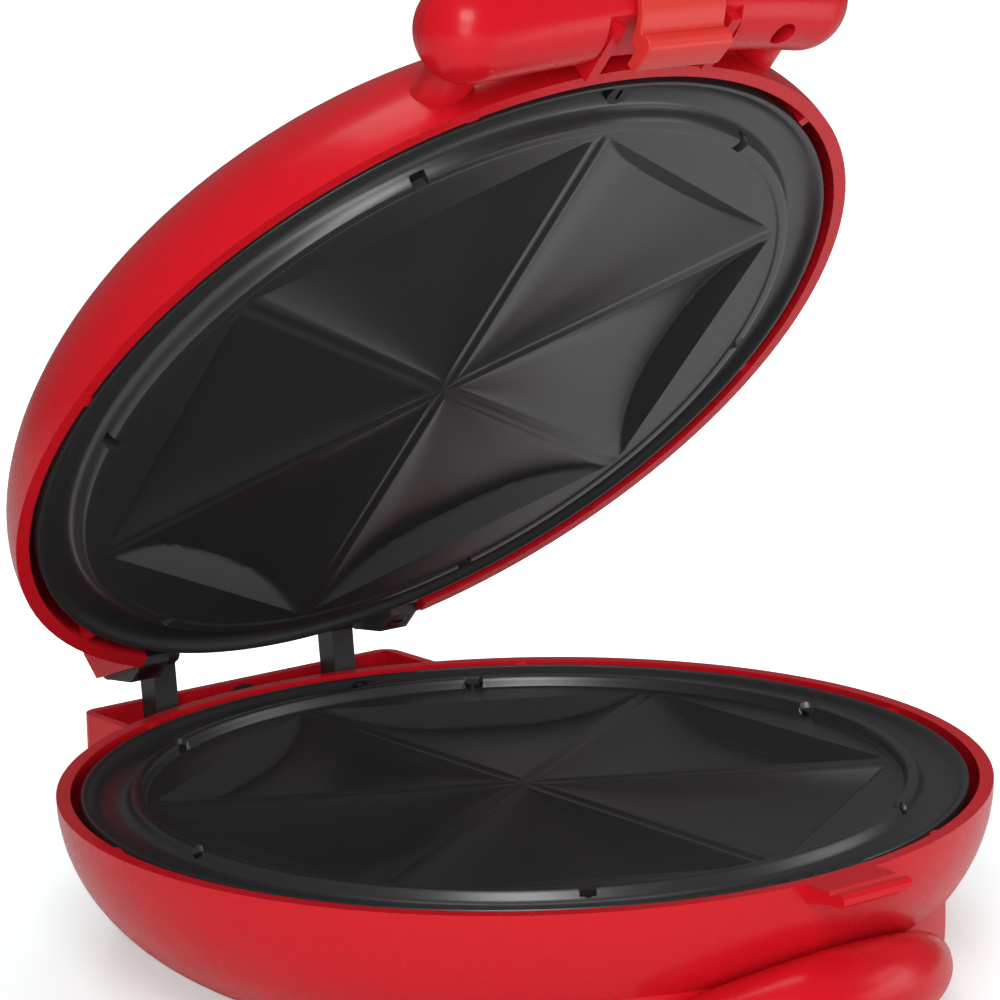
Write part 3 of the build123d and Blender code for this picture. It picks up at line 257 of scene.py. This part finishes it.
seam_red, seam_tree, seam_shader = surface_material(
    "Shadowed red joint", Base_Color=linear("#4A0508"),
)
mottle(seam_tree, seam_shader, 0.55, 0.65, 4.0, 0.03, 0.05)
seam_radius = 0.16
for seam_side in (-1, 1):
    seam_points, seam_faces = tube(seam_line(seam_side), seam_radius, 8)
    piece("handle_seam_left" if seam_side < 0 else "handle_seam_right",
          opened(seam_points) / 1000, seam_faces, seam_red, "lid")

# ---- Cooking plates -------------------------------------------------------------------
# Cast aluminium with a satin black non-stick coat. Six shallow wedges meet at the middle
# between flat-topped bars; a raised lip and a drip gutter run round the edge.
plate_black, plate_tree, plate_shader = surface_material(
    "Satin black non-stick coating",
    Base_Color=linear("#2B2B2D"), Specular_IOR_Level=0.7,
)
mottle(plate_tree, plate_shader, 0.30, 0.36, 1.6, 0.03, 0.02)


def plate_surface(slot, lip, level, reach, widen):
    """Points (mm) and faces of a plate, face up, with the shell's rim plane at z = 0.

    The lip's top is at z = lip, its radius grows by widen, and the bars' tops are at
    z = level. A plate with a slot has a shallow one in its rim, at the front.

    Inside, rows are hexagons of distance u from the centre and columns run across each
    60 degree sector, so that mesh lines follow the bars' edges. A pocket's depth is
    min(k u' (1 - |t|^3), 0.95 (reach - u)), where u' starts at the bars' meeting point and
    t is the place across the pocket, from -1 to 1. A bar's top is hollowed by
    0.4 sin^2(90 d), where d runs from its edge to its middle. Outside, rows are circles.
    """
    bar_half = 2.3
    pocket_depth, pocket_length = 5.6, 69.4
    pocket_end_slope = 0.95
    bar_hollow, hollow_from_centre, hollow_from_end = 0.4, 12, 3
    gutter_floor = -3.42
    notch_floor = -2.8
    skin = 2.6
    k = pocket_depth / pocket_length
    apex = bar_half / math.sin(math.pi / 6)
    half_tan = math.tan(math.pi / 6)
    s = np.linspace(-1, 1, 81)
    across = 0.5 * s + 0.5 * s**3
    inward = np.linspace(0, 1, 8)[1:]
    rows_in = np.concatenate([np.linspace(0.4, 8, 10), np.linspace(9, 72, 64),
                              np.linspace(72.8, reach, 20)])
    profile = np.array([
        (94.6, -2.80), (94.9, -2.55), (95.1, -2.0), (95.3, -1.2), (95.5, -0.55), (95.8, -0.15),
        (96.2, -0.05), (97.0, 0.0), (97.8, -0.05), (98.2, -0.15), (98.5, -0.5), (98.8, -1.1),
        (99.1, -1.8), (99.5, -2.5), (100.2, -3.0), (101.2, -3.3), (102.6, -3.42), (104.2, -3.42),
        (105.6, -3.3), (106.8, -3.0), (107.8, -2.5), (108.5, -1.9), (109.0, -1.35),
        (109.5, -0.9), (110.0, -0.62), (110.4, -0.52), (110.8, -0.6), (111.0, -1.0),
    ])
    lip_radius, lip_edge, gutter_start = 97.0, 99.1, 102.6
    level_with_notch = level == notch_floor
    notch_start = 94.0 if level_with_notch else lip_radius - 0.8
    notch_half = 2.0 if level_with_notch else 1.7
    r, z = profile.T
    inner_side = level + (z - notch_floor) * (lip - level) / -notch_floor
    outer_side = gutter_floor + (z - gutter_floor) * (lip - gutter_floor) / -gutter_floor
    profile[:, 1] = np.where(
        r < lip_radius, inner_side, np.where(r < gutter_start, outer_side, z)
    )
    profile[:, 0] = r + widen * np.clip((gutter_start - r) / (gutter_start - lip_edge), 0, 1)
    top = []
    for sector in range(6):
        turn = math.radians(60 * sector)
        cells = []
        for u in rows_in:
            edge = max(u - apex, 0.04 * u) * half_tan
            far = u * half_tan
            hollow = bar_hollow * np.sin(math.pi / 2 * inward) ** 2
            hollow = hollow * min(u / hollow_from_centre, 1)
            hollow = hollow * min((reach - u) / hollow_from_end, 1)
            v = np.concatenate([edge * across, edge + (far - edge) * inward])
            t = np.clip(np.abs(v) / edge, 0, 1)
            floor = k * max(u - apex, 0) * (1 - t**3)
            depth = np.maximum(np.minimum(floor, pocket_end_slope * (reach - u)), 0)
            depth[len(across):] = hollow
            near_bar = np.stack([
                np.full(6, u), -v[len(across):-1][::-1], level - hollow[:-1][::-1],
            ], 1)
            row = np.stack([np.full_like(v, u), v, level - depth], 1)
            cells.append(np.concatenate([near_bar, row]))
        phi = np.arctan2(cells[-1][:, 1], reach)
        hexagon = reach / np.cos(phi)
        for mix in (0.35, 0.7):
            r = hexagon + (profile[0, 0] - hexagon) * mix
            cells.append(np.stack([r * np.cos(phi), r * np.sin(phi),
                                   np.full_like(phi, level)], 1))
        for r, z in profile:
            height = np.full_like(phi, z)
            if notch_start < r < lip_edge + widen:
                in_notch = np.abs(r * phi) < notch_half
                height = np.where(in_notch, np.minimum(height, notch_floor), height)
            cells.append(np.stack([r * np.cos(phi), r * np.sin(phi), height], 1))
        cells = np.array(cells)
        x = cells[..., 0] * math.cos(turn) - cells[..., 1] * math.sin(turn)
        y = cells[..., 0] * math.sin(turn) + cells[..., 1] * math.cos(turn)
        top.append(np.stack([x, y, cells[..., 2]], -1))
    top = np.concatenate(top, 1)
    if slot:
        slot_half, slot_middle, slot_start, slot_depth = 14.3, -1.7, 109.5, 0.6
        mark = (np.abs(top[..., 0] - slot_middle) < slot_half) & (top[..., 1] < 0)
        mark &= np.hypot(top[..., 0], top[..., 1]) > slot_start
        top[..., 2] -= np.where(mark, slot_depth, 0.0)
    rows, columns = top.shape[:2]
    under = top.copy()
    under[..., 2] -= skin
    grid = np.arange(rows * columns).reshape(rows, columns)
    faces = []
    for a, b, c, d in zip(grid[:-1], grid[1:], np.roll(grid, -1, 1)[1:],
                          np.roll(grid, -1, 1)[:-1]):
        faces.extend(zip(a, b, c, d))
    shift = rows * columns
    faces.extend([(d + shift, c + shift, b + shift, a + shift) for a, b, c, d in list(faces)])
    rim = grid[-1]
    faces.extend([(a, a + shift, b + shift, b) for a, b in zip(rim, np.roll(rim, -1))])
    points = np.concatenate([top.reshape(-1, 3), under.reshape(-1, 3)])
    middle = len(points)
    points = np.concatenate([points, [[0, 0, level], [0, 0, level - skin]]])
    first = grid[0]
    faces.extend([(middle, a, b) for a, b in zip(first, np.roll(first, -1))])
    faces.extend([(middle + 1, b + shift, a + shift) for a, b in zip(first, np.roll(first, -1))])
    return points, faces


base_rim, lid_rim = 46.0, 47.5
lower_points, lower_faces = plate_surface(
    slot=True, lip=0.0, level=-2.8, reach=82.0, widen=0.0,
)
lower_points[:, 2] += base_rim
lower_plate = piece("lower_plate_surface", lower_points / 1000, lower_faces, plate_black, "base")
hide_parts("lower_plate")

upper_points, upper_faces = plate_surface(
    slot=False, lip=1.4, level=1.0, reach=82.6, widen=1.0,
)
upper_points[:, 2] = lid_rim - upper_points[:, 2]
upper_faces = [face[::-1] for face in upper_faces]
upper_points = opened(upper_points)
upper_plate = piece("upper_plate_surface", upper_points / 1000, upper_faces, plate_black, "lid")
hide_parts("upper_plate")

# ---- Hinge, feet and bottom cover -----------------------------------------------------
# Black heat-resistant plastic for the hinge pieces, the bottom cover and the terminal
# block; black rubber for the feet and the cord's bush.
black_plastic, black_tree, black_shader = surface_material(
    "Black heat-resistant plastic", Base_Color=linear("#2A2A2C"),
)
mottle(black_tree, black_shader, 0.42, 0.52, 0.6, 0.08, 0.05)
paint(black_plastic, "hinge_post_left", "hinge_post_right", "hinge_lug_left",
      "hinge_lug_right", "bottom_cover", "terminal_block", "lower_thermostat",
      "upper_thermostat")
rubber, rubber_tree, rubber_shader = surface_material(
    "Black rubber", Base_Color=linear("#161616"),
)
mottle(rubber_tree, rubber_shader, 0.62, 0.75, 0.5, 0.1, 0.05)
paint(rubber, "foot_front_left", "foot_front_right", "foot_rear_left", "foot_rear_right",
      "cord_gland")

# ---- Screws, posts, pins and heaters --------------------------------------------------
# Zinc plated steel for what is hidden; the screws and studs that show beside the plates
# are blackened.
steel, steel_tree, steel_shader = surface_material(
    "Zinc plated steel", Base_Color=linear("#8E9094"), Metallic=1.0,
)
mottle(steel_tree, steel_shader, 0.28, 0.4, 0.5, 0.05, 0.02)
paint(steel, "lower_heater", "upper_heater", "thermal_fuse", "hinge_pin_left",
      "hinge_pin_right", "latch_pin", "base_handle_screws", "bottom_cover_screws",
      "handle_half_screw", "lid_handle_screws", "hinge_post_screws")
black_steel, dark_tree, dark_shader = surface_material(
    "Blackened steel", Base_Color=linear("#2A2A2C"), Metallic=0.7,
)
mottle(dark_tree, dark_shader, 0.3, 0.42, 0.4, 0.05, 0.02)
paint(black_steel, "lower_plate_screw", "upper_plate_screw", "hinge_lug_screws",
      "lower_reflector_posts", "upper_reflector_posts")
aluminium, sheet_tree, sheet_shader = surface_material(
    "Bare aluminium sheet", Base_Color=linear("#B9BBBE"), Metallic=1.0,
)
mottle(sheet_tree, sheet_shader, 0.3, 0.42, 0.7, 0.04, 0.02)
paint(aluminium, "lower_reflector", "upper_reflector", "lower_heater_clamps",
      "upper_heater_clamps")

# ---- Wires and lights -----------------------------------------------------------------
# Woven glass sleeve on the inner wires, two small light pipes in the dome, and the card
# with their lamps.
sleeve, sleeve_tree, sleeve_shader = surface_material(
    "Woven glass wire sleeve", Base_Color=linear("#D8D2C0"),
)
mottle(sleeve_tree, sleeve_shader, 0.7, 0.85, 0.3, 0.2, 0.05)
paint(sleeve, "base_wiring", "lid_wiring")
for lens_name, lens_colour in (("power_lens", "#B01010"), ("ready_lens", "#1E9A3A")):
    lens, lens_tree, lens_shader = surface_material(
        "Clear tinted light pipe " + lens_name, Base_Color=linear(lens_colour),
        Transmission_Weight=0.4, IOR=1.49,
    )
    mottle(lens_tree, lens_shader, 0.08, 0.14, 1.0, 0.01, 0.02)
    paint(lens, lens_name)
card, card_tree, card_shader = surface_material(
    "Brown circuit card", Base_Color=linear("#7A5A2C"),
)
mottle(card_tree, card_shader, 0.5, 0.6, 0.5, 0.05, 0.02)
paint(card, "indicator_lamps")

# ---- Studio ---------------------------------------------------------------------------
# White sweep that keeps a soft shadow and fades to pure white away from the object. A
# soft key and a low front light come from the left, a weak fill from the right, one
# light from overhead, and a small bounce from below lifts the handle's underside.
scene = bpy.context.scene
world = bpy.data.worlds.new("Studio white")
world.use_nodes = True
world_tree = world.node_tree
back_white = add(world_tree, "ShaderNodeBackground", {"Color": linear("#FFFFFF"), "Strength": 1.0})
soft_white = add(world_tree, "ShaderNodeBackground", {"Color": linear("#FFFFFF"), "Strength": 0.13})
ray = add(world_tree, "ShaderNodeLightPath")
mix = add(world_tree, "ShaderNodeMixShader")
world_tree.links.new(ray.outputs["Is Camera Ray"], mix.inputs["Fac"])
world_tree.links.new(soft_white.outputs["Background"], mix.inputs[1])
world_tree.links.new(back_white.outputs["Background"], mix.inputs[2])
world_tree.links.new(mix.outputs["Shader"], world_tree.nodes["World Output"].inputs["Surface"])
scene.world = world

floor_white, floor_tree, floor_shader = surface_material(
    "Matt white sweep", Roughness=0.9, Specular_IOR_Level=0.0,
    Emission_Color=linear("#FFFFFF"),
)
floor_place = add(floor_tree, "ShaderNodeTexCoord")
floor_reach = add(floor_tree, "ShaderNodeVectorMath", operation="LENGTH")
floor_fade = add(floor_tree, "ShaderNodeMapRange", {
    "From Min": 0.15, "From Max": 0.34, "To Min": 0.45, "To Max": 1.0,
}, interpolation_type="SMOOTHSTEP")
floor_ray = add(floor_tree, "ShaderNodeLightPath")
floor_glow = add(floor_tree, "ShaderNodeMath", operation="MULTIPLY")
floor_tree.links.new(floor_place.outputs["Object"], floor_reach.inputs[0])
floor_tree.links.new(floor_reach.outputs["Value"], floor_fade.inputs["Value"])
floor_tree.links.new(floor_fade.outputs["Result"], floor_glow.inputs[0])
floor_tree.links.new(floor_ray.outputs["Is Camera Ray"], floor_glow.inputs[1])
floor_tree.links.new(floor_glow.outputs["Value"], floor_shader.inputs["Emission Strength"])
floor_colour = add(floor_tree, "ShaderNodeMixRGB", {
    "Color1": linear("#F4F4F4"), "Color2": linear("#E2F4F4"),
})
floor_tree.links.new(floor_ray.outputs["Is Camera Ray"], floor_colour.inputs["Fac"])
floor_tree.links.new(floor_colour.outputs["Color"], floor_shader.inputs["Base Color"])
floor_half = 4
floor_corners = [(x * floor_half, y * floor_half, 0)
                 for x, y in ((-1, -1), (1, -1), (1, 1), (-1, 1))]
floor_mesh = bpy.data.meshes.new("floor")
floor_mesh.from_pydata(floor_corners, [], [(0, 1, 2, 3)])
floor_mesh.materials.append(floor_white)
floor = bpy.data.objects.new("floor", floor_mesh)
scene.collection.objects.link(floor)


def soft_light(name, place, target, size, power):
    """Square area light aimed at a point, all in metres and watts."""
    data = bpy.data.lights.new(name, "AREA")
    data.size = size
    data.energy = power
    lamp = bpy.data.objects.new(name, data)
    aim = (Vector(target) - Vector(place)).to_track_quat("-Z", "Y")
    lamp.matrix_world = Matrix.Translation(place) @ aim.to_matrix().to_4x4()
    scene.collection.objects.link(lamp)


soft_light("key", (-0.9, -1.1, 1.1), (0, 0, 0.1), 0.7, 15)
soft_light("front", (-0.9, -1.0, 0.35), (0, 0, 0.12), 0.5, 4)
soft_light("fill", (1.2, -0.8, 0.6), (0, 0, 0.1), 0.7, 3)
soft_light("top", (0.1, 0.3, 1.6), (0, 0, 0.1), 1.0, 9)
soft_light("bounce", (0.30, -0.36, 0.03), (0, -0.05, 0.22), 0.28, 0.45)

# ---- Camera ---------------------------------------------------------------------------
# Long lens at the photo's angle: from the front left, a little above the open plates and
# rolled by 1.3 degrees.
camera_data = bpy.data.cameras.new("photo camera")
camera_data.lens = 145.38
camera_data.sensor_width = 36.0
camera = bpy.data.objects.new("photo camera", camera_data)
azimuth, roll = math.radians(-37.80), math.radians(-1.30)
camera_x, camera_y, camera_z = -0.60245, -0.76922, 0.32362
back = Vector((-0.59948, -0.77289, 0.20800)).normalized()
right_level = Vector((math.cos(azimuth), math.sin(azimuth), 0))
up_level = back.cross(right_level)
right = right_level * math.cos(roll) + up_level * math.sin(roll)
up = up_level * math.cos(roll) - right_level * math.sin(roll)
camera.matrix_world = Matrix((
    (right.x, up.x, back.x, camera_x),
    (right.y, up.y, back.y, camera_y),
    (right.z, up.z, back.z, camera_z),
    (0, 0, 0, 1),
))
scene.collection.objects.link(camera)
scene.camera = camera
scene.view_settings.view_transform = "Standard"
